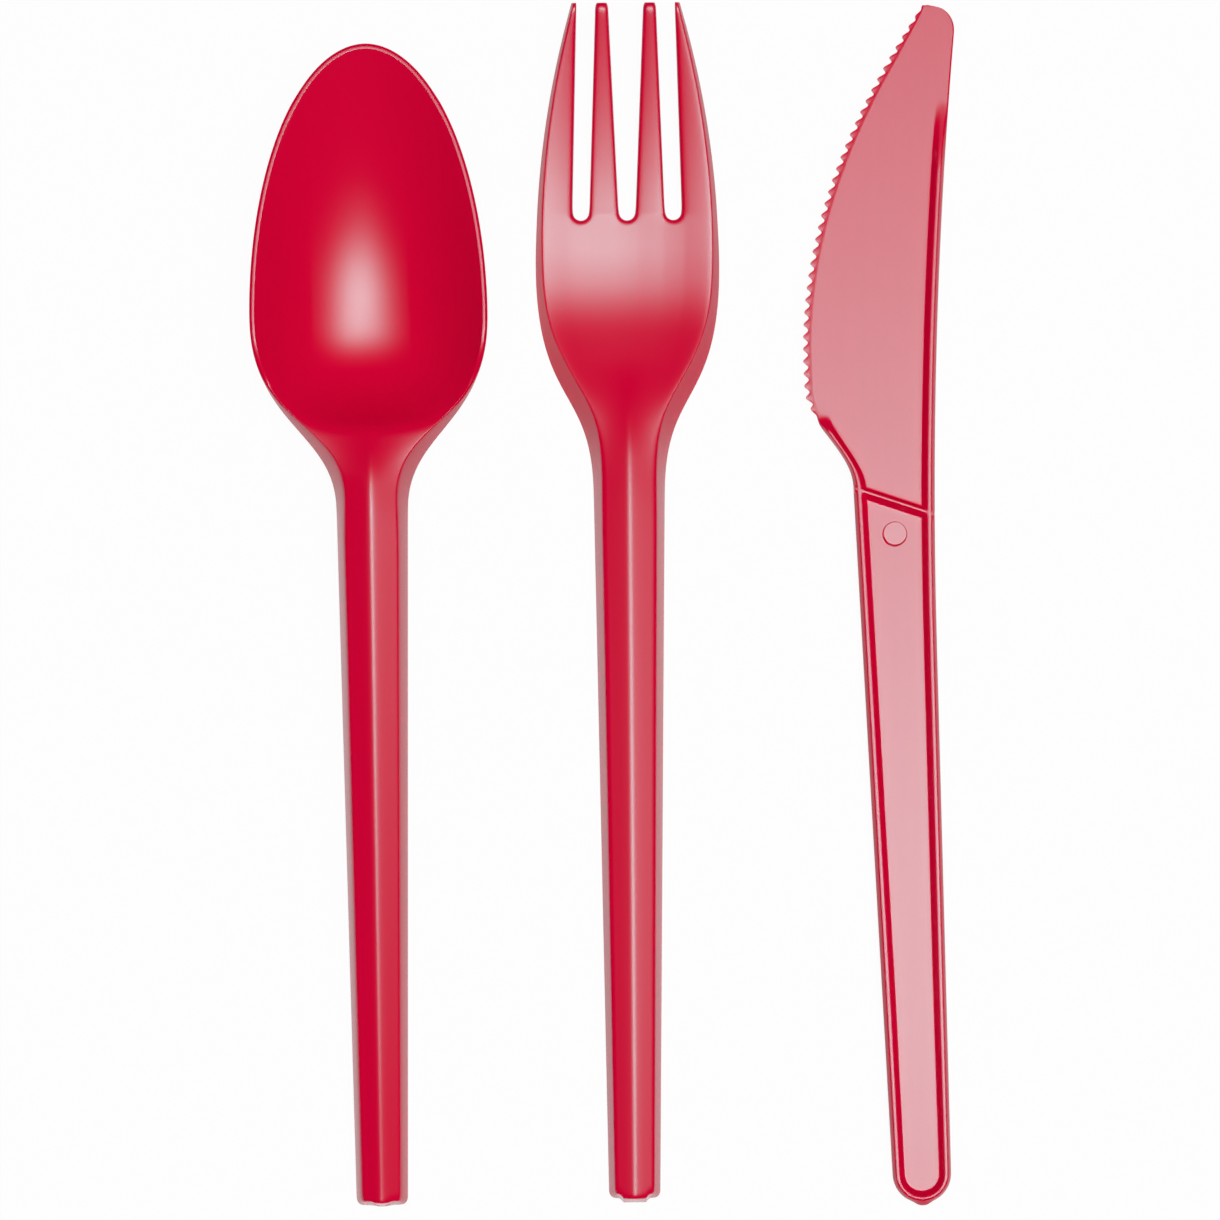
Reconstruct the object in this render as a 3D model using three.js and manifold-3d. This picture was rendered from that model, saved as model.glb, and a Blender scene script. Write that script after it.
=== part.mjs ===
// Three pieces of red moulded cutlery lying side by side: a spoon, a fork and a knife.
// Millimetres, +Z up. Each piece is drawn along +Y from the end of its handle, then laid on the table.
import * as THREE from "three";
import Module from "manifold-3d";

const { lerp, smoothstep, degToRad } = THREE.MathUtils;

// Lengths, tip to handle end
const SPOON_LENGTH = 163;
const FORK_LENGTH = 168;
const KNIFE_LENGTH = 168.4;

// Handle of the spoon and of the fork: a ridged roof on two leaning side walls, hollow underneath
const WALL = 1.2;
const DRAFT_DEG = 14;
const NECK_WIDTH = 10.1;
const END_WIDTH = 7.3;
const END_CORNER = 1;
const END_DEPTH = 3.2;
const NECK_DEPTH = 4.25;
const SPOON_RIDGE_SLOPE = 0.36;
const FORK_RIDGE_SLOPE = 0.315;
const RIDGE_FADE = 11;

// Spoon bowl
const BOWL_WIDTH = 33.3;
const BOWL_FRONT = 38.2;
const BOWL_DEPTH = 8.2;
const BOWL_SLANT = 0.18;
const BOWL_ROUND = 2.1;
const BOWL_FLOOR = 0.49;
const FLOOR_BACK = 8;
const FLOOR_FADE = 10;
const RIM_LAND = 0.5;
const RIM_LEAN = 0.1;
const BOWL_BACK = 23;
const SPOON_SHOULDER = 26.8;
const SPOON_SHOULDER_ROUND = 15;
const SPOON_NECK_ROUND = 11;
const SPOON_NECK_RISE = 4.4;
const SPOON_FLARE = 1.3;
const SPOON_FLARE_AT = 9;
const SPOON_FLARE_REACH = 6;

// Fork head
const HEAD_WIDTH = 26.1;
const HEAD_FRONT = 36;
const HEAD_DEPTH = 2.4;
const HEAD_PLATE = 1.45;
const HEAD_DISH = 0.9;
const HEAD_LOW_BACK = 3.1;
const HEAD_LEAN = 0.9;
const HEAD_SLOPE = 0.17;
const HEAD_SLOPE_ROUND = 7;
const HEAD_SLOPE_END = 17;
const NECK_LEVEL = 26;
const TIP_SPAN = 15.3;
const TIP_DEPTH = 1.2;
const TIP_LIFT = 4.4;
const TINE_CURVE = 1.58;
const FORK_SHOULDER = 33;
const FORK_SHOULDER_ROUND = 21;
const FORK_NECK_ROUND = 16;
const FORK_FLARE = 1.35;
const FORK_FLARE_AT = 14.8;
const FORK_FLARE_REACH = 8;
const FORK_FLARE_DEPTH = 0.7;

// Slots between the tines
const SLOT_LENGTH = 30.3;
const SLOT_ROOT_WIDTH = 2.35;
const SIDE_SLOT_ROOT_X = 6.5;
const SIDE_SLOT_TIP_X = 5.56;
const SIDE_SLOT_TIP_WIDTH = 2.6;
const MID_SLOT_TIP_WIDTH = 4.9;
const TINE_CHAMFER = 0.4;

// Knife in plan
const KNIFE_END_WIDTH = 8.25;
const KNIFE_NECK_WIDTH = 11.2;
const KNIFE_NECK_Y = 101.4;
const HEEL_LENGTH = 13.7;
const BELLY_OUT = 12;
const BELLY_Y = 118.3;
const EDGE_SWEEP = 18.9;
const SPINE_SWEEP_Y = 80;
const SPINE_SWEEP = 5.15;
const NOSE_RADIUS = 4;

// Knife thickness, cutting edge and teeth
const KNIFE_THICKNESS = 3;
const WEB = 1.2;
const EDGE_THICKNESS = 1;
const BEVEL_WIDTH = 1.4;
const TEETH = 35;
const TEETH_START_Y = 112.2;
const TOOTH_DEPTH = 0.87;

// Ribs of the knife
const RIB_FLANK = 0.55;
const RIB_LAND = 0.6;
const RIB_FILLET = 0.75;
const RIB_PARTING = 1;
const RIB_TOP_Y = 155;
const RIB_TOP_RUNOUT = 10;
const RIB_HEEL_Y = 110.8;
const RIB_HEEL_RUNOUT = 2;
const RIB_BITE = 0.1;
const CROSS_RIB_LEFT_Y = 100.5;
const CROSS_RIB_DROP = 3.6;

// Where the pieces lie
const SPOON_TO_FORK = 35.6;
const FORK_TO_KNIFE = 40.6;
const SPOON_BACK = 0.8;
const KNIFE_BACK = 0.4;
const SPOON_LEAN_DEG = 0.74;
const FORK_LEAN_DEG = 0.45;
const KNIFE_LEAN_DEG = 2.4;

const wasm = await Module();
wasm.setup();

const ACROSS = [-1, -0.95, -0.8, -0.6, -0.4, -0.15, 0, 0.15, 0.4, 0.6, 0.8, 0.95, 1];
const LEAN = Math.tan(degToRad(DRAFT_DEG));
const NECK_FLAT = NECK_WIDTH / 2 - NECK_DEPTH * LEAN;

/** Closed solid over sections that each have a top and an under row, with points from -X to +X. */
function skin(sections) {
  const count = sections[0].top.length;
  const points = sections.flatMap((section) => [...section.top, ...section.under]);
  const index = [];
  const top = (s, i) => s * 2 * count + i;
  const under = (s, i) => top(s, i) + count;
  const quad = (a, b, c, d) => index.push(a, b, c, a, c, d);
  const last = sections.length - 1;
  const edge = count - 1;
  for (let s = 0; s < last; s += 1) {
    for (let i = 0; i < edge; i += 1) {
      quad(top(s, i), top(s, i + 1), top(s + 1, i + 1), top(s + 1, i));
      quad(under(s, i), under(s + 1, i), under(s + 1, i + 1), under(s, i + 1));
    }
    quad(top(s, 0), top(s + 1, 0), under(s + 1, 0), under(s, 0));
    quad(top(s, edge), under(s, edge), under(s + 1, edge), top(s + 1, edge));
  }
  for (let i = 0; i < edge; i += 1) {
    quad(top(0, i), under(0, i), under(0, i + 1), top(0, i + 1));
    quad(top(last, i), top(last, i + 1), under(last, i + 1), under(last, i));
  }
  const geometry = new THREE.BufferGeometry().setFromPoints(points);
  geometry.setIndex(index);
  return geometry;
}

/** Solid for joining and cutting, from an indexed geometry. */
function solid(geometry) {
  const position = geometry.getAttribute("position");
  const mesh = new wasm.Mesh({
    numProp: 3,
    vertProperties: new Float32Array(position.array),
    triVerts: new Uint32Array(geometry.index.array),
  });
  mesh.merge();
  return new wasm.Manifold(mesh);
}

/** Geometry of a solid. */
function geometryOf(body) {
  const mesh = body.getMesh();
  const geometry = new THREE.BufferGeometry();
  const position = new THREE.BufferAttribute(new Float32Array(mesh.vertProperties), 3);
  geometry.setAttribute("position", position);
  geometry.setIndex(new THREE.BufferAttribute(new Uint32Array(mesh.triVerts), 1));
  return geometry;
}

/** Evenly spaced values from a to b, both included. */
function steps(a, b, count) {
  return Array.from({ length: count + 1 }, (_, i) => lerp(a, b, i / count));
}

/** Height gained over a distance by a slope that grows smoothly from 0 to 1 between low and high. */
function gain(distance, low, high) {
  const u = THREE.MathUtils.clamp((distance - low) / (high - low), 0, 1);
  return (high - low) * (u ** 3 - u ** 4 / 2) + Math.max(0, distance - high);
}

/** Bump of height 1 at zero that fades out over a reach. */
function bump(distance, reach) {
  return Math.exp(-((distance / reach) ** 2));
}

/** One section of a moulded shell: its top, its leaning side walls and the hollow below. */
function shellSection(row) {
  const { plan, half, edgeZ, depth, lean, wall, lift, closed, tip } = row;
  const baseZ = edgeZ - depth;
  const top = ACROSS.map((u) => {
    const [x, y] = plan(u, lean);
    return new THREE.Vector3(x, y, edgeZ + lift(x, y, half - lean));
  });
  const under = ACROSS.map((u, i) => {
    const rank = Math.min(i, ACROSS.length - 1 - i);
    if (closed || tip || rank === 0) {
      const [x, y] = plan(u, 0);
      return new THREE.Vector3(x, y, baseZ);
    }
    const inset = rank === 1 ? wall : lean + wall;
    const across = rank === 1 ? Math.sign(u) : u / -ACROSS[2];
    const [x, y] = plan(across, inset);
    const ceiling = edgeZ + lift(x, y, half - lean) - wall;
    return new THREE.Vector3(x, y, rank === 1 ? Math.min(baseZ, ceiling) : ceiling);
  });
  return { top, under };
}

/** Rows of the handle from its end to the neck, which is neckY along and neckRise up. */
function handleRows(neckY, neckRise, ridgeSlope) {
  const endLean = END_DEPTH * LEAN;
  const rounds = [0, 0.15, 0.4, 1].map((t) => END_CORNER * t);
  const ends = [WALL, WALL + endLean];
  const first = Math.max(END_CORNER, WALL + endLean) + 1;
  const stations = [...new Set([...rounds, ...ends, ...steps(first, neckY, 18)])].sort((a, b) => a - b);
  return stations.map((y) => {
    const t = y / neckY;
    const short = Math.max(0, END_CORNER - y);
    const corner = END_CORNER - Math.sqrt(END_CORNER ** 2 - short ** 2);
    const half = lerp(END_WIDTH, NECK_WIDTH, t) / 2 - corner;
    const depth = lerp(END_DEPTH, NECK_DEPTH, t);
    const shift = 1 - smoothstep(y, 0, neckY / 4);
    return {
      plan: (u, inset) => [u * (half - inset), y + inset * shift],
      half,
      depth,
      lean: depth * LEAN,
      edgeZ: neckRise * t + depth,
      wall: WALL,
      lift: (x, _, flat) => ridgeSlope * (flat - Math.abs(x)),
      closed: y <= WALL,
    };
  });
}

/** Plan curve of a shoulder, from the neck to the widest place. */
function shoulderCurve(neckY, wideY, wide, neckRound, wideRound) {
  return new THREE.CubicBezierCurve(
    new THREE.Vector2(NECK_WIDTH / 2, neckY),
    new THREE.Vector2(NECK_WIDTH / 2, neckY + neckRound),
    new THREE.Vector2(wide / 2, wideY - wideRound),
    new THREE.Vector2(wide / 2, wideY),
  );
}

function spoonGeometry() {
  const wideY = SPOON_LENGTH - BOWL_FRONT;
  const neckY = wideY - SPOON_SHOULDER;
  const rimZ = BOWL_DEPTH + WALL;
  const neckZ = SPOON_NECK_RISE + NECK_DEPTH;
  const climb = ((neckZ - END_DEPTH) / neckY) * SPOON_SHOULDER;
  const wide = BOWL_WIDTH / 2;
  const deep = (y) => BOWL_DEPTH * (1 - (BOWL_SLANT * (y - wideY)) / BOWL_FRONT);
  const floor = (u, y) => {
    const ahead = Math.max(0, y - wideY + FLOOR_BACK);
    return 1 + BOWL_FLOOR * u ** 2 * (1 - u ** 2) * Math.exp(-((ahead / FLOOR_FADE) ** 2));
  };
  const bowl = (r, flat) => 1 - Math.min(1, r / (1 - RIM_LAND / flat)) ** BOWL_ROUND;
  const rimLine = (t) => {
    const rise = rimZ - neckZ;
    return neckZ + climb * t + (3 * rise - 2 * climb) * t ** 2 + (climb - 2 * rise) * t ** 3;
  };
  const curve = shoulderCurve(neckY, wideY, BOWL_WIDTH, SPOON_NECK_ROUND, SPOON_SHOULDER_ROUND);
  const shoulders = steps(0, 1, 18).slice(1).map((t) => {
    const { x: half, y } = curve.getPoint(t);
    const back = (wideY - y) / SPOON_SHOULDER;
    const end = Math.min(1, (wideY - y) / BOWL_BACK);
    const dish = deep(y) * (1 - end ** 3 * (4 - 3 * end));
    const ridge = SPOON_RIDGE_SLOPE * NECK_FLAT * (1 - smoothstep(y, neckY, neckY + RIDGE_FADE));
    const flare = SPOON_FLARE * bump(y - neckY - SPOON_FLARE_AT, SPOON_FLARE_REACH);
    return {
      plan: (u, inset) => [u * (half - inset), y],
      half,
      depth: lerp(WALL, NECK_DEPTH, smoothstep(back, 0.25, 0.85)),
      lean: lerp(RIM_LEAN, NECK_DEPTH * LEAN, smoothstep(back, 0.3, 1)) + flare,
      edgeZ: rimLine(1 - back),
      wall: WALL,
      lift: (x, _, flat) => {
        const u = Math.abs(x) / flat;
        return ridge * (1 - u) - dish * bowl(u, flat) * floor(u, y);
      },
    };
  });
  const fronts = steps(0, 1, 16).slice(1).map((t, i, all) => {
    const v = Math.sin((t * Math.PI) / 2);
    return {
      plan: (u, inset) => [
        u * (wide - inset) * Math.sqrt(1 - v ** 2 / 2),
        wideY + v * (BOWL_FRONT - inset) * Math.sqrt(1 - u ** 2 / 2),
      ],
      half: wide,
      depth: WALL,
      lean: RIM_LEAN,
      edgeZ: rimZ,
      wall: WALL,
      lift: (x, y, flat) => {
        const r = Math.hypot(x / flat, (y - wideY) / (BOWL_FRONT - RIM_LEAN));
        return -deep(y) * bowl(r, flat) * floor(x / flat, y);
      },
      tip: i === all.length - 1,
    };
  });
  const handle = handleRows(neckY, SPOON_NECK_RISE, SPOON_RIDGE_SLOPE);
  const rows = [...handle, ...shoulders, ...fronts];
  return skin(rows.map(shellSection));
}

/** Prism of one slot between two tines, from its round root to past the tips. */
function slotPrism(rootX, tipX, tipWidth) {
  const root = SLOT_ROOT_WIDTH / 2;
  const tip = tipWidth / 2;
  const rootY = FORK_LENGTH - SLOT_LENGTH + root;
  const mouthY = FORK_LENGTH - TINE_CHAMFER;
  const shape = new THREE.Shape();
  shape.moveTo(rootX + root, rootY);
  shape.lineTo(tipX + tip, mouthY);
  shape.lineTo(tipX + tip + 2 * TINE_CHAMFER, FORK_LENGTH + TINE_CHAMFER);
  shape.lineTo(tipX - tip - 2 * TINE_CHAMFER, FORK_LENGTH + TINE_CHAMFER);
  shape.lineTo(tipX - tip, mouthY);
  shape.lineTo(rootX - root, rootY);
  shape.absarc(rootX, rootY, root, Math.PI, 2 * Math.PI, false);
  const height = 4 * (HEAD_DEPTH + TIP_LIFT);
  const prism = new THREE.ExtrudeGeometry(shape, { depth: height, bevelEnabled: false, curveSegments: 10 });
  prism.translate(0, 0, -height / 4);
  prism.setIndex([...Array(prism.getAttribute("position").count).keys()]);
  return solid(prism);
}

function forkGeometry() {
  const wideY = FORK_LENGTH - HEAD_FRONT;
  const neckY = wideY - FORK_SHOULDER;
  const curve = shoulderCurve(neckY, wideY, HEAD_WIDTH, FORK_NECK_ROUND, FORK_SHOULDER_ROUND);
  const dished = (x, flat) => 1 - (x / flat) ** 2;
  const lowY = wideY - HEAD_LOW_BACK;
  const bed = (y) => {
    const ahead = Math.max(0, (y - lowY) / (FORK_LENGTH - lowY));
    const climb = gain(lowY - y, 0, HEAD_SLOPE_ROUND) - gain(lowY - y, HEAD_SLOPE_END, NECK_LEVEL);
    return HEAD_DEPTH + HEAD_SLOPE * climb + TIP_LIFT * ahead ** TINE_CURVE;
  };
  const shoulders = steps(0, 1, 18).slice(1).map((t) => {
    const { x: half, y } = curve.getPoint(t);
    const back = smoothstep(wideY - y, 0, FORK_SHOULDER);
    const ridge = FORK_RIDGE_SLOPE * NECK_FLAT * (1 - smoothstep(y, neckY, neckY + RIDGE_FADE));
    const flare = bump(y - neckY - FORK_FLARE_AT, FORK_FLARE_REACH);
    return {
      plan: (u, inset) => [u * (half - inset), y],
      half,
      depth: lerp(HEAD_DEPTH, NECK_DEPTH, back) + FORK_FLARE_DEPTH * flare,
      lean: lerp(HEAD_LEAN, NECK_DEPTH * LEAN, back) + FORK_FLARE * flare,
      edgeZ: bed(y),
      wall: lerp(HEAD_PLATE, WALL, back),
      lift: (x, _, flat) =>
        ridge * (1 - Math.abs(x) / flat) - HEAD_DISH * (1 - back) * dished(x, flat),
    };
  });
  const fronts = steps(0, 1, 14).slice(1).map((t) => {
    const y = wideY + HEAD_FRONT * t;
    const half = lerp(HEAD_WIDTH, TIP_SPAN, t ** 2) / 2;
    return {
      plan: (u, inset) => [u * (half - inset), y],
      half,
      depth: lerp(HEAD_DEPTH, TIP_DEPTH, t),
      lean: lerp(HEAD_LEAN, TIP_DEPTH * LEAN, t),
      edgeZ: bed(y),
      wall: lerp(HEAD_PLATE, TIP_DEPTH, t),
      lift: (x, _, flat) => -HEAD_DISH * (1 - t) * dished(x, flat),
      tip: t === 1,
    };
  });
  const handle = handleRows(neckY, bed(neckY) - NECK_DEPTH, FORK_RIDGE_SLOPE);
  const rows = [...handle, ...shoulders, ...fronts];
  const blank = solid(skin(rows.map(shellSection)));
  const slots = [
    slotPrism(-SIDE_SLOT_ROOT_X, -SIDE_SLOT_TIP_X, SIDE_SLOT_TIP_WIDTH),
    slotPrism(0, 0, MID_SLOT_TIP_WIDTH),
    slotPrism(SIDE_SLOT_ROOT_X, SIDE_SLOT_TIP_X, SIDE_SLOT_TIP_WIDTH),
  ];
  return geometryOf(slots.reduce((body, slot) => body.subtract(slot), blank));
}

/** Half the width of the knife's handle, which tapers to a round end. */
function knifeHandleHalf(y) {
  const radius = KNIFE_END_WIDTH / 2;
  if (y < radius) return Math.sqrt(radius ** 2 - (radius - y) ** 2);
  return lerp(radius, KNIFE_NECK_WIDTH / 2, (y - radius) / (KNIFE_NECK_Y - radius));
}

/** Left outline of the knife: handle, heel, then the line through the tips of the teeth. */
function knifeLeft(y) {
  const heel = smoothstep(y, KNIFE_NECK_Y, KNIFE_NECK_Y + HEEL_LENGTH);
  const belly = lerp(-knifeHandleHalf(Math.min(y, KNIFE_NECK_Y)), -BELLY_OUT, heel);
  const along = Math.max(0, (y - BELLY_Y) / (KNIFE_LENGTH - BELLY_Y));
  return belly + EDGE_SWEEP * along ** 2;
}

/** Right outline of the knife: handle, spine, then the round nose. */
function knifeRight(y) {
  const along = Math.max(0, (y - SPINE_SWEEP_Y) / (KNIFE_LENGTH - SPINE_SWEEP_Y));
  const spine = knifeHandleHalf(y) + SPINE_SWEEP * along ** 2;
  const past = THREE.MathUtils.clamp(y - (KNIFE_LENGTH - NOSE_RADIUS), 0, NOSE_RADIUS);
  return spine - NOSE_RADIUS + Math.sqrt(NOSE_RADIUS ** 2 - past ** 2);
}

/** How far the rib on the spine has risen out of the web at y. */
function spineRib(y) {
  return 1 - smoothstep(y, RIB_TOP_Y - RIB_TOP_RUNOUT, RIB_TOP_Y);
}

/** How far the rib on the other side has risen out of the web at y. */
function heelRib(y) {
  return 1 - smoothstep(y, RIB_HEEL_Y - RIB_HEEL_RUNOUT, RIB_HEEL_Y);
}

/** Flat web of the knife with its bevelled, toothed edge. */
function knifeWeb() {
  const middle = KNIFE_THICKNESS / 2;
  const radius = KNIFE_END_WIDTH / 2;
  const section = (y, left, bevel, right, edge) => {
    const xs = [left, bevel, lerp(bevel, right, 0.5), right];
    const zs = [edge / 2, WEB / 2, WEB / 2, WEB / 2];
    return {
      top: xs.map((x, i) => new THREE.Vector3(x, y, middle + zs[i])),
      under: xs.map((x, i) => new THREE.Vector3(x, y, middle - zs[i])),
    };
  };
  const handle = [
    ...[0.15, 0.35, 0.65].map((t) => radius * t),
    ...steps(radius, KNIFE_NECK_Y, 16),
    ...steps(KNIFE_NECK_Y, TEETH_START_Y, 12).slice(1),
  ].map((y) => {
    const sunk = (RIB_FLANK / 2) * Math.min(1, knifeHandleHalf(y) / radius);
    const left = knifeLeft(y) + sunk * heelRib(y);
    const right = knifeRight(y) - sunk;
    return section(y, left, lerp(left, right, 0.2), right, WEB);
  });
  const tips = steps(TEETH_START_Y, KNIFE_LENGTH, 24).map((y) => new THREE.Vector2(knifeLeft(y), y));
  const marks = new THREE.SplineCurve(tips).getSpacedPoints(2 * TEETH).slice(1);
  const blade = marks.map(({ x, y }, k) => {
    const valley = x + TOOTH_DEPTH;
    const left = k % 2 ? x : valley;
    const right = knifeRight(y) - (RIB_FLANK / 2) * spineRib(y);
    const bevel = Math.min(valley + BEVEL_WIDTH - TOOTH_DEPTH, lerp(left, right, 0.5));
    return section(y, left, bevel, right, EDGE_THICKNESS);
  });
  return solid(skin([...handle, ...blade]));
}

/** Rib that runs down the spine, round the end of the handle and up the other side to the heel. */
function knifeRim() {
  const middle = KNIFE_THICKNESS / 2;
  const radius = KNIFE_END_WIDTH / 2;
  const sunkZ = WEB / 2 - RIB_BITE;
  const down = steps(RIB_TOP_Y, radius, 44).map((y) => [knifeRight(y), y, spineRib(y)]);
  const round = steps(0, Math.PI, 20).slice(1, -1).map((a) => [
    radius * Math.cos(a),
    radius - radius * Math.sin(a),
    1,
  ]);
  const up = steps(radius, RIB_HEEL_Y, 48).map((y) => [knifeLeft(y), y, heelRib(y)]);
  const path = [...down, ...round, ...up];
  return solid(skin(path.map(([x, y, growth], i) => {
    const before = path[Math.max(0, i - 1)];
    const after = path[Math.min(path.length - 1, i + 1)];
    const along = new THREE.Vector2(after[0] - before[0], after[1] - before[1]).normalize();
    const crest = lerp(sunkZ, middle, growth);
    const offsets = [0, RIB_FLANK, RIB_FLANK + RIB_LAND, RIB_FLANK + RIB_LAND + RIB_FILLET];
    const heights = [Math.min(crest, RIB_PARTING / 2), crest, crest, sunkZ];
    const row = (side) => offsets.map((offset, k) => new THREE.Vector3(
      x + along.y * offset,
      y - along.x * offset,
      middle + side * heights[k],
    ));
    return { top: row(1), under: row(-1) };
  })));
}

/** Slanting rib that closes the panel of the handle below the blade. */
function knifeCrossRib() {
  const middle = KNIFE_THICKNESS / 2;
  const sunkZ = WEB / 2 - RIB_BITE;
  const crest = middle - RIB_BITE;
  const rightY = CROSS_RIB_LEFT_Y - CROSS_RIB_DROP;
  const inward = RIB_FLANK + RIB_LAND / 2;
  const left = new THREE.Vector2(knifeLeft(CROSS_RIB_LEFT_Y) + inward, CROSS_RIB_LEFT_Y);
  const right = new THREE.Vector2(knifeRight(rightY) - inward, rightY);
  const along = right.clone().sub(left).normalize();
  const offsets = [-RIB_LAND / 2 - RIB_FILLET, -RIB_LAND / 2, RIB_LAND / 2, RIB_LAND / 2 + RIB_FILLET];
  const heights = [sunkZ, crest, crest, sunkZ];
  return solid(skin([left, right].map((point) => {
    const row = (side) => offsets.map((offset, k) => new THREE.Vector3(
      point.x + along.y * offset,
      point.y - along.x * offset,
      middle + side * heights[k],
    ));
    return { top: row(1), under: row(-1) };
  })));
}

function knifeGeometry() {
  return geometryOf(knifeWeb().add(knifeRim()).add(knifeCrossRib()));
}

const red = new THREE.MeshStandardMaterial({ color: 0xc4062f, roughness: 0.3, metalness: 0 });

/** Named piece, laid down with the end of its handle at x, y and leaning by the given angle. */
function piece(name, geometry, x, y, leanDeg) {
  const mesh = new THREE.Mesh(geometry, red);
  mesh.name = name;
  geometry.computeBoundingBox();
  mesh.position.set(x, y, -geometry.boundingBox.min.z);
  mesh.rotation.z = degToRad(leanDeg);
  return mesh;
}

const laid = new THREE.Group();
laid.name = "laid_out";
laid.add(
  piece("spoon", spoonGeometry(), -SPOON_TO_FORK, -SPOON_BACK, SPOON_LEAN_DEG),
  piece("fork", forkGeometry(), 0, 0, FORK_LEAN_DEG),
  piece("knife", knifeGeometry(), FORK_TO_KNIFE, -KNIFE_BACK, KNIFE_LEAN_DEG),
);

const cutlery = new THREE.Group();
cutlery.name = "cutlery";
cutlery.add(laid);
cutlery.updateMatrixWorld(true);
const box = new THREE.Box3().setFromObject(cutlery, true);
const centre = box.getCenter(new THREE.Vector3());
laid.position.set(-centre.x, -centre.y, 0);

export default cutlery;
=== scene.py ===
"""A red moulded cutlery set: a spoon, a fork and a knife, seen from straight above.

A piece is modelled in millimetres along +Y from the end of its handle. It is then turned, scaled to metres
and laid where its solid lies in the frame.
"""

import sys

import logging
import math
from collections.abc import Callable
from dataclasses import dataclass, field
from enum import Enum

import bpy
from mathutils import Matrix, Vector


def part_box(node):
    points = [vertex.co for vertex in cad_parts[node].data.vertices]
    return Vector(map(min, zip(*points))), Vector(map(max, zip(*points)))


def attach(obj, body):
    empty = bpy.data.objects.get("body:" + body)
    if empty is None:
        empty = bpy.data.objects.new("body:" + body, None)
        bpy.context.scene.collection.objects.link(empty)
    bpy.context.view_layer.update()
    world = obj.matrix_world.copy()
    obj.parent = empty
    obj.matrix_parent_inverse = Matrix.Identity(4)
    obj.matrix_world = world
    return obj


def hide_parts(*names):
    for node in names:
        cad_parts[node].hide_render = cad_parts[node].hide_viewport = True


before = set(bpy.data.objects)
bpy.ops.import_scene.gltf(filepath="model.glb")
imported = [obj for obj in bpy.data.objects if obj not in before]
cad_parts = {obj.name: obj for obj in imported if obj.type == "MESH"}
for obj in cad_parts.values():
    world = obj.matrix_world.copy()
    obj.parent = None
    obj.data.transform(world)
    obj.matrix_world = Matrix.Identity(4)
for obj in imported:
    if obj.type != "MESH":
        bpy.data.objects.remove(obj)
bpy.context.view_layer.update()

Piece = bpy.types.Object
Tree = bpy.types.NodeTree
Pair = tuple[float, float]
Series = tuple[float, ...]

LOG = logging.getLogger("cutlery")
WHITE = "#FFFFFF"
MM = 0.001
MERGE = 0.001  # points this close become one
TINY = 1e-9
SHEET = 2.0  # width and length of a flat sheet
SLAB = 1.0  # thickness of a sheet before its skins are shaped
CORNER_KEPT = 0.6  # share of a rounded end corner that the top gets back
MIX_A, MIX_B, MIX_RESULT = 6, 7, 2  # the colour sockets of a mix node


class Skin(Enum):
    """The two skins of a shell."""

    TOP = 0
    UNDER = 1


def lerp(start: float, end: float, share: float) -> float:
    """Return the value that lies a share of the way from start to end."""
    return start + (end - start) * share


def ease(value: float, low: float, high: float) -> float:
    """Return 0 below low and 1 above high, with a smooth step between them."""
    share = min(1.0, max(0.0, (value - low) / (high - low)))
    return share * share * (3.0 - 2.0 * share)


def gain(distance: float, low: float, high: float) -> float:
    """Return the height gained over a distance by a slope that grows from 0 to 1 between low and high."""
    share = min(1.0, max(0.0, (distance - low) / (high - low)))
    return (high - low) * (share**3 - share**4 / 2) + max(0.0, distance - high)


def bump(distance: float, reach: float) -> float:
    """Return the height of a unit bump that fades out over a reach."""
    return math.exp(-((distance / reach) ** 2))


def linear(hex_colour: str) -> tuple[float, float, float, float]:
    """Turn an sRGB colour, six hex digits after a hash, into linear red, green, blue and alpha."""
    parts = [int(hex_colour[at : at + 2], 16) / 255 for at in (1, 3, 5)]
    red, green, blue = [p / 12.92 if p <= 0.04045 else ((p + 0.055) / 1.055) ** 2.4 for p in parts]
    return red, green, blue, 1.0


def add_node(tree: Tree, kind: str, settings: dict, links: dict) -> bpy.types.Node:
    """Add a node with its settings and links.

    Args:
        tree: The node tree that takes the node.
        kind: The shader node's type, after its prefix.
        settings: Values for the node's properties, or for its sockets by name or number.
        links: The output socket that feeds each input, by name or number.

    Returns:
        The new node.
    """
    node = tree.nodes.new("ShaderNode" + kind)
    for key, value in settings.items():
        if isinstance(key, str) and hasattr(node, key):
            setattr(node, key, value)
        else:
            node.inputs[key].default_value = value
    for key, source in links.items():
        tree.links.new(source, node.inputs[key])
    return node


def reckon(tree: Tree, operation: str, *terms: bpy.types.NodeSocket | float) -> bpy.types.NodeSocket:
    """Add a math node that works on numbers or on other nodes' outputs, and return its own output."""
    numbers = {at: term for at, term in enumerate(terms) if isinstance(term, float)}
    sources = {at: term for at, term in enumerate(terms) if at not in numbers}
    return add_node(tree, "Math", {"operation": operation} | numbers, sources).outputs[0]


def empty_tree(owner: bpy.types.ID) -> Tree:
    """Return the node tree of a material, a light or a world, with no nodes in it."""
    owner.use_nodes = True
    owner.node_tree.nodes.clear()
    return owner.node_tree


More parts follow.
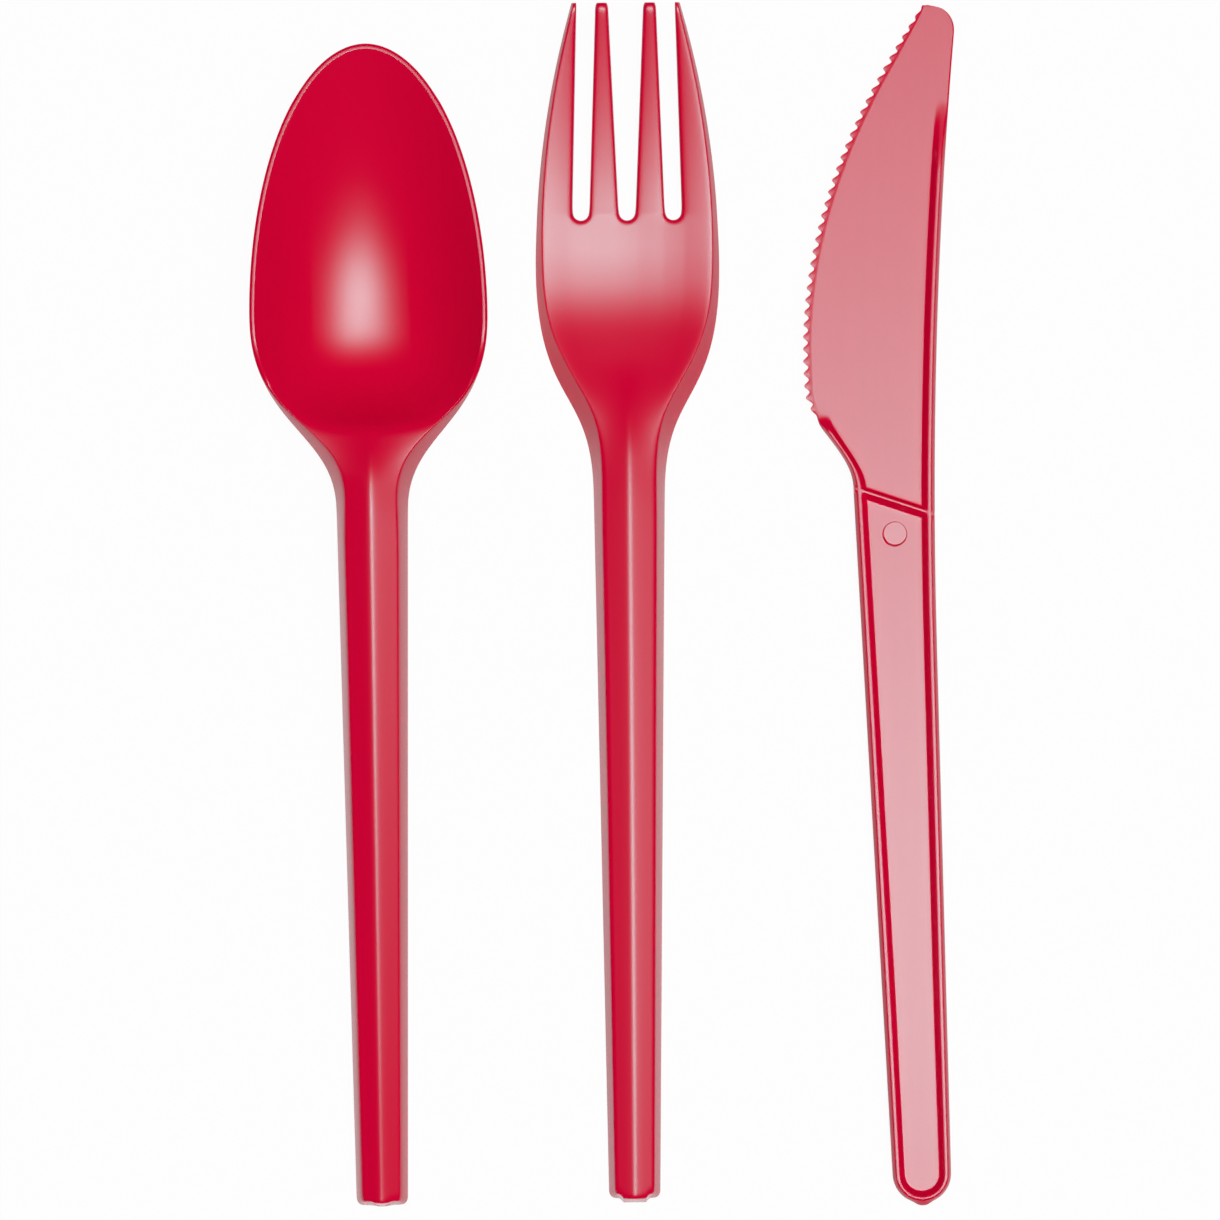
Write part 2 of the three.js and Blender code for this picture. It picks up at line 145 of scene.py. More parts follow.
@dataclass(frozen=True)
class MouldedPolylactide:
    """Red polylactide, injection moulded and crystallised.

    The polished mould leaves a glossy skin, with a faint orange peel and streaks along the way the melt ran,
    which show in the highlights.
    """

    colour: str = "#F2013F"
    streak_colour: str = "#ED013D"
    highlight_tint: str = "#A2FFFF"
    ior: float = 1.46
    roughness: float = 0.12
    streak_width: float = 1.1
    streak_length: float = 26.0
    streak_detail: float = 3.0
    streak_roughness: float = 0.55
    streak_levels: Pair = (0.3, 0.7)
    peel_width: float = 1.6
    peel_height: float = 0.0012

    GLOSS = {"Min": -0.05, "Max": 0.05}  # how far the streaks change the roughness

    def make(self) -> bpy.types.Material:
        """Return the material, with its patterns on Object coordinates."""
        material = bpy.data.materials.new("moulded_polylactide_gloss_red")
        tree = empty_tree(material)
        place = add_node(tree, "TexCoord", {}, {}).outputs["Object"]
        stretch = {"Scale": (1.0, self.streak_width / self.streak_length, 1.0)}
        along = add_node(tree, "Mapping", stretch, {"Vector": place})
        melt = {"Detail": self.streak_detail, "Roughness": self.streak_roughness}
        melt["Scale"] = 1.0 / (self.streak_width * MM)
        streaks = add_node(tree, "TexNoise", melt, {"Vector": along.outputs["Vector"]})
        dimples = {"Scale": 1.0 / (self.peel_width * MM), "Detail": 1.0}
        peel = add_node(tree, "TexNoise", dimples, {"Vector": place})
        colours = {"data_type": "RGBA", MIX_A: linear(self.colour), MIX_B: linear(self.streak_colour)}
        colour = add_node(tree, "Mix", colours, {0: streaks.outputs[0]})
        levels = dict(zip(("From Min", "From Max"), self.streak_levels))
        levels |= {f"To {end}": self.roughness * (1.0 + spread) for end, spread in self.GLOSS.items()}
        gloss = add_node(tree, "MapRange", levels, {"Value": streaks.outputs[0]})
        height = {"Strength": 1.0, "Distance": self.peel_height * MM}
        relief = add_node(tree, "Bump", height, {"Height": peel.outputs[0]})
        skin = add_node(
            tree,
            "BsdfPrincipled",
            {"IOR": self.ior, "Specular Tint": linear(self.highlight_tint)},
            {"Base Color": colour.outputs[MIX_RESULT], "Roughness": gloss.outputs[0], "Normal": relief.outputs[0]},
        )
        add_node(tree, "OutputMaterial", {}, {"Surface": skin.outputs[0]})
        return material


@dataclass(frozen=True)
class WhitePaper:
    """White matt paper of the studio sweep, which glows to white for the camera and in the gloss."""

    colour: str = "#F4F4F4"
    glow: float = 0.96

    def make(self) -> bpy.types.Material:
        """Return the material: matt paper that still takes a shadow, with its glow added."""
        material = bpy.data.materials.new("matt_white_paper")
        tree = empty_tree(material)
        seen = add_node(tree, "LightPath", {}, {})
        shown = seen.outputs["Is Camera Ray"]
        for ray in ("Is Glossy Ray", "Is Transmission Ray"):
            shown = reckon(tree, "MAXIMUM", shown, seen.outputs[ray])
        share = reckon(tree, "MULTIPLY", shown, self.glow)
        matt = add_node(tree, "BsdfDiffuse", {"Color": linear(self.colour)}, {})
        glow = add_node(tree, "Emission", {"Strength": 1.0}, {})
        mix = add_node(tree, "MixShader", {}, {0: share, 1: matt.outputs[0], 2: glow.outputs[0]})
        add_node(tree, "OutputMaterial", {}, {"Surface": mix.outputs[0]})
        return material


def add_sheet(name: str, columns: int, rows: int) -> Piece:
    """Add a flat sheet of so many faces across and along, as the active piece."""
    bpy.ops.mesh.primitive_grid_add(x_subdivisions=columns, y_subdivisions=rows, size=SHEET, location=(0, 0, 0))
    sheet = bpy.context.object
    sheet.name = name
    return sheet


def address(point: Vector, columns: int, rows: int) -> tuple[int, int, Skin]:
    """Return the row, the column and the skin of a point of a flat sheet."""
    row = round((point.y / SHEET + 0.5) * rows)
    column = round((point.x / SHEET + 0.5) * columns)
    return row, column, Skin.TOP if point.z > -SLAB / 2 else Skin.UNDER


def select_parts(piece: Piece, parts: str, wanted: Callable[[bpy.types.bpy_struct], bool]) -> None:
    """Select the edges or the polygons that a test picks, and nothing else."""
    mesh = piece.data
    for group in (mesh.vertices, mesh.edges, mesh.polygons):
        group.foreach_set("select", [False] * len(group))
    for part in getattr(mesh, parts):
        part.select = wanted(part)


def edit(piece: Piece, mode: str) -> None:
    """Open a piece in edit mode, with points (VERT), edges (EDGE) or faces (FACE) to work on."""
    bpy.context.view_layer.objects.active = piece
    bpy.ops.object.mode_set(mode="EDIT")
    bpy.ops.mesh.select_mode(type=mode)


def finish_mesh(piece: Piece) -> None:
    """Merge doubled points, turn all faces outwards and leave edit mode."""
    if piece.mode != "EDIT":
        edit(piece, "VERT")
    bpy.ops.mesh.select_all(action="SELECT")
    bpy.ops.mesh.remove_doubles(threshold=MERGE)
    bpy.ops.mesh.normals_make_consistent(inside=False)
    bpy.ops.object.mode_set(mode="OBJECT")


def apply_modifier(piece: Piece, kind: str, settings: dict) -> None:
    """Add a modifier with its settings and apply it."""
    bpy.context.view_layer.objects.active = piece
    modifier = piece.modifiers.new(kind.title(), kind)
    for key, value in settings.items():
        setattr(modifier, key, value)
    bpy.ops.object.modifier_apply(modifier=modifier.name)


def select_only(piece: Piece) -> None:
    """Select a piece and nothing else, and make it the active one."""
    bpy.ops.object.select_all(action="DESELECT")
    piece.select_set(True)
    bpy.context.view_layer.objects.active = piece


@dataclass
class Row:
    """One row of points across a shell: its half-width at the base, and the top edge's place over it."""

    y: float
    half: float
    depth: float
    lean: float
    edge_z: float
    wall: float
    ridge: float = 0.0
    dish: float = 0.0
    end_shift: float = 0.0
    corner: float = 0.0
    land: float = 0.0
    solid: bool = False


@dataclass
class RidgedHandle:
    """The handle that the spoon and the fork share: a roof-shaped top over a hollow, open underneath."""

    wall: float = 1.2
    draft: float = math.tan(math.radians(14.0))
    neck_width: float = 10.1
    end_width: float = 7.3
    end_corner: float = 1.0
    end_depth: float = 3.2
    neck_depth: float = 4.25
    ridge_slope: float = 0.345
    ridge_round: float = 0.33
    ridge_stays: float = 4.0
    ridge_fade: float = 16.0
    edge_round: float = 0.2
    end_rows: Series = (0.0, 0.09, 0.3, 0.7)
    hollow_rows: Series = (1.6, 2.2, 3.2, 5.0, 8.0)
    long_rows: int = 22
    end_reach: float = 0.25

    def rows(self, neck_y: float, neck_rise: float) -> list[Row]:
        """Return the rows from the handle's end to the neck.

        Args:
            neck_y: Where the neck lies along the piece.
            neck_rise: How far the neck's underside stands over the table.

        Returns:
            The rows, the neck's own left out.
        """
        stations = [*self.end_rows, self.wall, *self.hollow_rows]
        step = (neck_y - stations[-1]) / self.long_rows
        stations += [stations[-1] + step * count for count in range(1, self.long_rows)]
        made = []
        for y in stations:
            share = y / neck_y
            short = max(0.0, self.end_corner - y)
            corner = self.end_corner - math.sqrt(self.end_corner**2 - short**2)
            depth = lerp(self.end_depth, self.neck_depth, share)
            half = lerp(self.end_width, self.neck_width, share) / 2
            row = Row(
                y=y,
                half=half - corner,
                corner=corner,
                depth=depth,
                lean=depth * self.draft,
                edge_z=neck_rise * share + depth,
                wall=self.wall,
                ridge=self.ridge_slope * (half - depth * self.draft),
                end_shift=1.0 - ease(y, 0.0, neck_y * self.end_reach),
                solid=y <= self.wall,
            )
            made.append(row)
        return made

    def faded_ridge(self, past: float) -> float:
        """Return the ridge's rise so far past the neck."""
        rise = self.ridge_slope * (self.neck_width / 2 - self.neck_depth * self.draft)
        return rise * (1.0 - ease(past, self.ridge_stays, self.ridge_fade))

    def roof(self, x: float, flat: float) -> float:
        """Return the height of a unit roof at x, with its ridge rounded."""
        return 1.0 - (math.hypot(x, self.ridge_round) - self.ridge_round) / flat


@dataclass
class Moulding:
    """A piece of the set: one moulding, laid at its own angle in place of its solid."""

    node: str
    lean_deg: float
    finish: bpy.types.Material
    crease_deg: float = 50.0

    def build(self) -> Piece:
        """Return the finished mesh in millimetres, along +Y from its handle's end."""
        raise NotImplementedError

    def lay(self, piece: Piece) -> None:
        """Turn the piece, scale it to metres and move it onto its solid's place."""
        select_only(piece)
        piece.rotation_euler.z = math.radians(self.lean_deg)
        piece.scale = (MM, MM, MM)
        bpy.ops.object.transform_apply()
        low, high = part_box(self.node)
        own_low, own_high = [Vector([end(axis) for axis in zip(*piece.bound_box)]) for end in (min, max)]
        move = (low + high - own_low - own_high) / 2
        move.z = low.z - own_low.z
        piece.location = move
        bpy.ops.object.transform_apply()

    def dress(self, piece: Piece) -> None:
        """Give the piece its finish and put it in its solid's place."""
        piece.data.materials.clear()
        piece.data.materials.append(self.finish)
        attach(piece, "root")
        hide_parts(self.node)

    def make(self) -> None:
        """Build, lay and dress the piece, and report it."""
        piece = self.build()
        select_only(piece)
        bpy.ops.object.shade_smooth_by_angle(angle=math.radians(self.crease_deg))
        self.lay(piece)
        self.dress(piece)
        LOG.info("%s: %d faces", piece.name, len(piece.data.polygons))


@dataclass
class Shell(Moulding):
    """A moulding of two skins: a top, and an underside that follows it as a hollow."""

    handle: RidgedHandle = field(default_factory=RidgedHandle)
    gate_width: float = 2.6
    gate_stand: float = 0.2
    gate_sides: Pair = (-0.35, 0.2)
    gate_ends: Pair = (0.9, 2.4)
    rounds: Pair = (11.0, 15.0)
    shoulder_rows: int = 20
    columns: int = field(init=False, default=0)
    row_count: int = field(init=False, default=0)
    keen_row: int = field(init=False, default=sys.maxsize)

    CREASE = 0.75
    LEVELS = 2

    def shoulders(self, wide: Vector, neck_y: float) -> list[Vector]:
        """Return the half-width and place of each row of the shoulders, from the neck to the widest row."""
        neck = Vector((self.handle.neck_width / 2, neck_y))
        points = [neck, neck + Vector((0.0, self.rounds[0])), wide - Vector((0.0, self.rounds[1])), wide]
        pairs = []
        for number in range(self.shoulder_rows + 1):
            t = number / self.shoulder_rows
            weights = ((1 - t) ** 3, 3 * t * (1 - t) ** 2, 3 * t * t * (1 - t), t**3)
            pairs.append(sum((point * weight for point, weight in zip(points, weights)), Vector((0.0, 0.0))))
        return pairs

    def place(self, row: int, column: int, skin: Skin) -> Vector:
        """Return where a point of the sheet goes."""
        raise NotImplementedError

    def cut(self, sheet: Piece) -> None:
        """Cut what is open out of the flat sheet, which is nothing here."""

    def gate(self, point: Vector) -> Vector:
        """Push the end of the handle out where the runner was cut off."""
        near = 1.0 - ease(point.y, *self.gate_ends)
        inside = 1.0 - ease(abs(point.x) - self.gate_width / 2, *self.gate_sides)
        return Vector((point.x, point.y - self.gate_stand * near * inside, point.z))

    def build(self) -> Piece:
        """Extrude the sheet into a slab, shape its two skins and subdivide it."""
        columns, rows = self.columns, self.row_count
        sheet = add_sheet(f"{self.node}_moulding", columns, rows)
        self.cut(sheet)
        edit(sheet, "FACE")
        bpy.ops.mesh.select_all(action="SELECT")
        bpy.ops.mesh.extrude_region_move(TRANSFORM_OT_translate={"value": (0.0, 0.0, -SLAB)})
        bpy.ops.object.mode_set(mode="OBJECT")
        places = [address(vertex.co, columns, rows) for vertex in sheet.data.vertices]
        keen = self.keen_edges(sheet, places)
        for vertex, where in zip(sheet.data.vertices, places):
            vertex.co = self.gate(self.place(*where))
        select_parts(sheet, "edges", lambda edge: edge.key in keen)
        edit(sheet, "EDGE")
        bpy.ops.transform.edge_crease(value=self.CREASE)
        finish_mesh(sheet)
        apply_modifier(sheet, "SUBSURF", {"levels": self.LEVELS, "render_levels": self.LEVELS})
        return sheet

    def keen_edges(self, sheet: Piece, places: list[tuple[int, int, Skin]]) -> set[tuple[int, int]]:
        """Return the edges to crease: round the underside, and round the top from the keen row on."""
        sides = [p for p in sheet.data.polygons if len({places[v][2] for v in p.vertices}) == len(Skin)]
        keen = set()
        for polygon in sides:
            for one, two in polygon.edge_keys:
                skins = {places[one][2], places[two][2]}
                ahead = min(places[one][0], places[two][0]) >= self.keen_row
                if skins == {Skin.UNDER} or skins == {Skin.TOP} and ahead:
                    keen.add((one, two))
        return keen


@dataclass
class Spoon(Shell):
    """The spoon: an egg-shaped bowl on a ridged handle."""

    length: float = 163.0
    bowl_width: float = 33.3
    bowl_front: float = 38.2
    bowl_depth: float = 8.2
    bowl_slant: float = 0.18
    bowl_round: float = 2.1
    bowl_flat: float = 0.22
    flat_ends: Pair = (-5.0, 8.0)
    floor_up: float = 0.45
    wall_ease: float = 0.4
    wall_power: float = 6.0
    rim_depth: float = 0.7
    rim_land: float = 0.7
    land_ends: Pair = (7.0, 14.0)
    bowl_back: float = 17.0
    back_powers: Pair = (3.0, 1.5)
    skirt_ends: Pair = (0.25, 0.85)
    lean_ends: Pair = (0.3, 1.0)
    neck_dip: float = 1.45
    dip_at: float = 15.0
    dip_reach: float = 8.0
    dip_ends: Pair = (17.0, 26.0)
    shoulder: float = 26.8
    neck_rise: float = 4.4
    flare: float = 1.25
    flare_at: float = 9.0
    flare_reach: float = 6.0
    flare_depth: float = 0.5
    rim: Series = (0.0, 0.3, 0.35, 0.68, 0.74, 0.95)
    shares: Series = (0.84, 0.68, 0.52, 0.36, 0.22, 0.1)
    full_half: float = 2.4
    front_rows: int = 14
    keen_rows: int = 9

    FALL = (1.0, 0.1, 0.0)  # of the rounded top edge, on its first columns
    UNDER_IN = (0.0, 0.25, 0.5, 0.75)  # the hollow's columns, in from its own edge
    CROWDING = 0.35  # how much closer the rows lie towards the tip
    SIDE_STEP, TIP_STEP = 0.012, 0.025  # how the rings draw in as they turn
    CORE = 0.5  # share of the bowl inside which the land fades

    def __post_init__(self) -> None:
        """Work out the rows and the heights that all points share."""
        shell = self.handle
        self.wide_y = self.length - self.bowl_front
        self.neck_y = self.wide_y - self.shoulder
        neck_z = self.neck_rise + shell.neck_depth
        self.lines = shell.rows(self.neck_y, self.neck_rise)
        wide = Vector((self.bowl_width / 2, self.wide_y))
        climb = (neck_z - shell.end_depth) / self.neck_y * self.shoulder
        rise = self.bowl_depth + shell.wall - neck_z
        for half, y in self.shoulders(wide, self.neck_y):
            behind = max(0.0, self.wide_y - y)
            back = behind / self.shoulder
            end = min(1.0, behind / self.bowl_back)
            t = 1.0 - back
            past = y - self.neck_y
            flare = bump(past - self.flare_at, self.flare_reach)
            dip = self.neck_dip * bump(past - self.dip_at, self.dip_reach) * (1.0 - ease(past, *self.dip_ends))
            fade = (1.0 - end ** self.back_powers[0]) ** self.back_powers[1]
            dish = self.bowl_depth * fade * self.slant(behind)
            depth = lerp(self.rim_depth, shell.neck_depth, ease(back, *self.skirt_ends))
            lean = shell.neck_depth * shell.draft * ease(back, *self.lean_ends)
            curve = climb * t + (3 * rise - 2 * climb) * t**2 + (climb - 2 * rise) * t**3
            row = Row(
                y=y,
                half=half,
                depth=depth + self.flare_depth * flare,
                lean=lean + self.flare * flare,
                edge_z=neck_z + curve - dip,
                wall=shell.wall,
                ridge=shell.faded_ridge(past),
                dish=max(0.0, dish - dip),
                land=self.rim_land * (1.0 - ease(behind, *self.land_ends)),
            )
            self.lines.append(row)
        self.rings = len(self.rim) - 1
        self.ahead = self.front_rows + self.rings
        self.columns = 2 * (len(self.rim) + len(self.shares))
        self.row_count = len(self.lines) - 1 + self.ahead
        self.keen_row = len(self.lines) - self.keen_rows

    def across(self, width: float, offsets: Series) -> list[float]:
        """Return each column's place across a row, given the half-width and the rim columns' distances in."""
        squeeze = min(1.0, width / self.full_half)
        near = [width - offset * squeeze for offset in offsets]
        right = near + [near[-1] * share for share in self.shares]
        return [-x for x in right] + [0.0] + right[::-1]

    def slant(self, back: float) -> float:
        """Return how much deeper the bowl is, so far back from its widest row."""
        return 1.0 + self.bowl_slant * back / self.bowl_front

    def bowl(self, radius: float, land: float, ahead: float) -> float:
        """Return a unit bowl's depth so far out: 1 in the middle, flatter at the back, and 0 on the rim's land."""
        power = self.bowl_round + self.bowl_flat * ease(-ahead, *self.flat_ends)
        out = min(1.0, radius / (1.0 - land))
        return 1.0 - out**power - self.wall_ease * out**self.wall_power * (1.0 - out)

    def sunk(self, skin: Skin) -> float:
        """Return a skin's share of the bowl's full depth: the top's is less, as the floor is thick."""
        return 1.0 - self.floor_up / self.bowl_depth if skin is Skin.TOP else 1.0

    def drop(self, ring: int, squeeze: float) -> float:
        """Return how far the rounded top edge has fallen on a rim column."""
        return self.handle.edge_round * squeeze * self.FALL[min(ring, len(self.FALL) - 1)]

    def ahead_point(self, step: int, column: int, insets: list[float]) -> tuple[float, float, int]:
        """Return a point of the bowl's front half, where the rim's columns run on as rings round the tip.

        Args:
            step: Rows ahead of the widest one.
            column: The column.
            insets: How far in from the rim's base each ring lies.

        Returns:
            Its place across, its place ahead of the widest row, and its ring.
        """
        columns, rings = self.columns, self.rings
        side = min(column, columns - column)
        tip = self.ahead - step
        ring = min(side, tip, rings)
        wide = self.bowl_width / 2 - insets[ring]
        long = self.bowl_front - insets[ring]
        hand = -1.0 if column < columns / 2 else 1.0
        level = min(1.0, step / self.front_rows)
        level *= 1.0 + self.CROWDING * (1.0 - level * level)
        spread = self.across(self.bowl_width / 2 - insets[0], self.rim)
        part = max(-1.0, min(1.0, spread[column] / spread[columns - rings]))
        u, v = part, level
        if ring < rings and side <= tip:
            u = hand
            v = level * (1.0 - (rings - ring) * self.SIDE_STEP)
            if tip < rings:
                v = 1.0 - (tip - ring) * self.SIDE_STEP
        elif ring < rings:
            v = 1.0
            u = part * (1.0 - (rings - ring) * self.TIP_STEP)
            if side < rings:
                u = hand * (1.0 - (side - ring) * self.TIP_STEP)
        return wide * u * math.sqrt(1.0 - v * v / 2), long * v * math.sqrt(1.0 - u * u / 2), ring

    def place(self, row: int, column: int, skin: Skin) -> Vector:
        """Return where a point of the sheet goes."""
        shell = self.handle
        widest = len(self.lines) - 1
        line = self.lines[min(row, widest)]
        lean = line.lean
        flat = line.half - lean
        side = min(column, self.columns - column)
        if skin is Skin.TOP:
            insets = [lean + offset for offset in self.rim]
        else:
            insets = [0.0, line.wall] + [line.wall + lean + step for step in self.UNDER_IN]
        if row > widest:
            x, ahead, ring = self.ahead_point(row - widest, column, insets)
            y = self.wide_y + ahead
            long = self.bowl_front - lean
            radius = math.hypot(x / flat, ahead / long)
            steep = math.hypot(x / flat**2, ahead / long**2) / max(radius, self.CORE)
            sink = self.bowl_depth * self.bowl(radius, line.land * steep, ahead) * self.slant(-ahead)
            lift = -sink * self.sunk(skin)
            fall = self.drop(ring, 1.0)
        else:
            ring = min(side, self.rings)
            shift = insets[ring] - (self.rim[ring] if skin is Skin.TOP else 0.0)
            wide = line.half - insets[0] + (CORNER_KEPT * line.corner if skin is Skin.TOP else 0.0)
            x = self.across(wide, tuple(inset - insets[0] for inset in insets))[column]
            y = line.y + shift * line.end_shift
            inside = min(1.0, abs(x) / flat)
            lift = line.ridge * shell.roof(min(abs(x), flat), flat)
            lift -= line.dish * self.bowl(inside, line.land / flat, y - self.wide_y) * self.sunk(skin)
            squeeze = min(1.0, flat / self.full_half)
            fall = max(self.drop(ring, squeeze), self.drop(row, 1.0))
        base = line.edge_z - line.depth
        if skin is Skin.TOP:
            return Vector((x, y, line.edge_z + lift - fall))
        if line.solid:
            return Vector((x, line.y, base))
        ceiling = line.edge_z + lift - line.wall
        if ring == 0:
            return Vector((x, y, base))
        return Vector((x, y, min(base, ceiling) if ring == 1 else ceiling))


@dataclass
class Fork(Shell):
    """The fork: four tines on a dished head and a ridged handle."""

    length: float = 168.0
    head_width: float = 26.1
    head_front: float = 36.0
    head_depth: float = 2.4
    head_plate: float = 1.45
    head_dish: float = 0.9
    tip_span: float = 15.3
    tip_depth: float = 1.2
    tip_lift: float = 4.4
    tine_curve: float = 1.58
    low_back: float = 4.2
    head_lean: float = 0.9
    head_slope: float = 0.132
    slope_round: float = 7.0
    slope_end: float = 11.5
    neck_level: float = 23.0
    shoulder: float = 33.0
    rounds: Pair = (16.0, 21.0)
    flare: float = 1.35
    flare_at: float = 14.8
    flare_reach: float = 8.0
    flare_depth: float = 0.25
    slot_length: float = 30.3
    slot_root_width: float = 2.35
    side_slot_root_x: float = 6.5
    side_slot_tip_x: float = 5.56
    side_slot_tip_width: float = 2.6
    mid_slot_tip_width: float = 4.9
    slot_round: float = 0.5
    slot_land: float = 1.4
    slot_rings: Pair = (1.1, 0.5)
    tine_round: float = 0.3
    tine_back: float = 4.0
    dish_power: float = 1.5
    shoulder_rows: int = 18
    gate_width: float = 3.8
    gate_stand: float = 0.6

    TINE = ("A0", "A1", "A2", "B2", "B1", "B0", "T", "S", "U", "C0", "C1", "C2", "D2", "D1", "D0", "N")
    TURN = {"0": (8.0, 26.0, 36.0), "1": (0.0, 13.0, 24.0), "2": (0.0, 4.0, 14.0)}
    ROOT = {"T": (46.0, 54.0, 62.0), "S": (90.0, 90.0, 90.0), "U": (134.0, 126.0, 118.0)}
    ROUND = ((0.0, 1.0), (0.3, 0.3), (1.0, 0.0))
    HEAD_ROWS = (0.4, 0.75, 1.0)  # shares of the way from the widest row to the slots
    TINE_ROWS = (0.0, 0.06, 0.14, 0.24, 0.36, 0.48, 0.6, 0.71, 0.81, 0.89)  # shares of the way along a slot
    POINT_ROWS = (1.7, 0.95, 0.4, 0.0)  # distances back from the tip
    POINT_WIDTH = (1.0, 1.0, 0.96, 0.8)
    POINT_FALL = (0.0, 0.02, 0.12, 0.4)
    POINT_UNDER = (0.15, 0.45)  # how far the underside comes up on the last rows
    BLADE_OUT, BLADE_LEAN = 0.8, 0.5  # how the outer tine's side stands over its underside

    def __post_init__(self) -> None:
        """Work out the rows and the heights that all points share."""
        shell = self.handle
        self.wide_y = self.length - self.head_front
        self.neck_y = self.wide_y - self.shoulder
        self.root_y = self.length - self.slot_length + self.slot_root_width / 2
        self.lines = shell.rows(self.neck_y, self.bed(self.neck_y) - shell.neck_depth)
        wide = Vector((self.head_width / 2, self.wide_y))
        for half, y in self.shoulders(wide, self.neck_y):
            back = ease(self.wide_y - y, 0.0, self.shoulder)
            flare = bump(y - self.neck_y - self.flare_at, self.flare_reach)
            row = self.add_row(y, half, back, shell.neck_depth, 1.0 - back)
            row.depth += self.flare_depth * flare
            row.lean += self.flare * flare
            row.ridge = shell.faded_ridge(y - self.neck_y)
        low = self.root_y - self.slot_root_width / 2
        stations = [lerp(self.wide_y, low - self.slot_land, share) for share in self.HEAD_ROWS]
        stations += [self.root_y - back for back in self.slot_rings]
        self.root_row = len(self.lines) + len(stations)
        run = self.length - self.root_y
        stations += [self.root_y + run * share for share in self.TINE_ROWS]
        stations += [self.length - back for back in self.POINT_ROWS]
        for y in stations:
            share = (y - self.wide_y) / self.head_front
            half = lerp(self.head_width, self.tip_span, share**2) / 2
            self.add_row(y, half, share, self.tip_depth, 1.0 - share**self.dish_power)
        root = self.lines[self.root_row]
        self.root_flat = root.half - root.lean
        self.names = list(self.TINE) + ["M"] + list(self.TINE[::-1])
        self.columns = len(self.names) - 1
        self.row_count = len(self.lines) - 1

    def add_row(self, y: float, half: float, share: float, end_depth: float, dish: float) -> Row:
        """Add a row a share of the way from the widest one to the neck or the tips, and return it."""
        row = Row(
            y=y,
            half=half,
            depth=lerp(self.head_depth, end_depth, share),
            lean=lerp(self.head_lean, end_depth * self.handle.draft, share),
            edge_z=self.bed(y),
            wall=lerp(self.head_plate, self.handle.wall, share),
            dish=self.head_dish * dish,
        )
        self.lines.append(row)
        return row

    def bed(self, y: float) -> float:
        """Return the height of the top's edge: down from the neck, then up to the tips."""
        low_y = self.wide_y - self.low_back
        ahead = max(0.0, (y - low_y) / (self.length - low_y))
        climb = gain(low_y - y, 0.0, self.slope_round) - gain(low_y - y, self.slope_end, self.neck_level)
        return self.head_depth + self.head_slope * climb + self.tip_lift * ahead**self.tine_curve

    def cut(self, sheet: Piece) -> None:
        """Cut the three slots out of the flat sheet."""
        columns, rows = self.columns, self.row_count
        start = SHEET * (self.root_row / rows - 0.5)
        open_at = {at for at, name in enumerate(self.names) if name in ("T", "S", "U", "N", "M")}

        def in_slot(face: bpy.types.MeshPolygon) -> bool:
            """Tell whether a face lies in a slot."""
            sides = {address(sheet.data.vertices[v].co, columns, rows)[1] for v in face.vertices}
            return face.center.y > start and bool(sides & open_at)

        select_parts(sheet, "polygons", in_slot)
        edit(sheet, "FACE")
        bpy.ops.mesh.delete(type="FACE")
        bpy.ops.object.mode_set(mode="OBJECT")

    def tine_edges(self, line: Row) -> dict[str, float]:
        """Return where the tines' edges lie across a row: A outermost, D beside the middle slot."""
        flat = line.half + CORNER_KEPT * line.corner - line.lean
        share = max(0.0, (line.y - self.root_y) / (self.length - self.root_y))
        middle = lerp(self.side_slot_root_x, self.side_slot_tip_x, share)
        half = lerp(self.slot_root_width, self.side_slot_tip_width, share) / 2
        inner = lerp(self.slot_root_width, self.mid_slot_tip_width, share) / 2
        edges = {"A": flat, "B": middle + half, "C": middle - half, "D": inner, "M": 0.0}
        edges |= {"T": middle + half / 2, "S": middle, "U": middle - half / 2, "N": inner / 2}
        if line.y < self.root_y:
            edges = {key: value * flat / self.root_flat for key, value in edges.items()} | {"A": flat}
        return edges

    def root(self, row: int, name: str) -> tuple[float, float, int] | None:
        """Return a point of the rings round a slot's end.

        Args:
            row: The row.
            name: The column's name.

        Returns:
            Its place across and along, and its ring, or nothing away from the slots' ends.
        """
        back = self.root_row - row
        if not 0 <= back < len(self.ROUND) or name[0] == "A":
            return None
        middle = 0.0 if name[0] in "DNM" else self.side_slot_root_x
        ring = back
        if name[0] in "BCD":
            angle = self.TURN[name[1]][back]
            ring = max(back, int(name[1]))
        else:
            angle = self.ROOT[{"N": "T", "M": "S"}.get(name, name)][back]
        if name[0] == "C":
            angle = 180.0 - angle
        radius = self.slot_root_width / 2 + self.slot_round * self.ROUND[ring][0]
        turn = math.radians(angle)
        return middle + radius * math.cos(turn), self.root_y - radius * math.sin(turn), ring

    def top(self, row: int, name: str) -> tuple[float, float, float]:
        """Return a column's place across and along a row, and how far its rounded edge has fallen."""
        shell = self.handle
        line = self.lines[row]
        round_end = self.root(row, name)
        if round_end:
            x, y, ring = round_end
            return x, y, self.slot_round * self.ROUND[ring][1]
        edges = self.tine_edges(line)
        x, fall = edges[name[0]], 0.0
        outer, inner = (edges[key] for key in ("AB" if name[0] in "AB" else "CD"))
        if name[0] in "ABCD":
            edge_round = shell.edge_round if name[0] == "A" else self.slot_round
            edge_round = min(edge_round, self.tine_round * (outer - inner))
            step, drop = self.ROUND[int(name[1])]
            x += step * edge_round if name[0] in "BD" else -step * edge_round
            if row > self.root_row or name[0] == "A":
                fall = edge_round * drop
        fall = max(fall, shell.edge_round * self.ROUND[min(row, len(self.ROUND) - 1)][1])
        point_row = row - len(self.lines) + len(self.POINT_ROWS)
        if point_row >= 0:
            x = lerp((outer + inner) / 2, x, self.POINT_WIDTH[point_row])
            fall += self.POINT_FALL[point_row]
        return x, line.y, fall

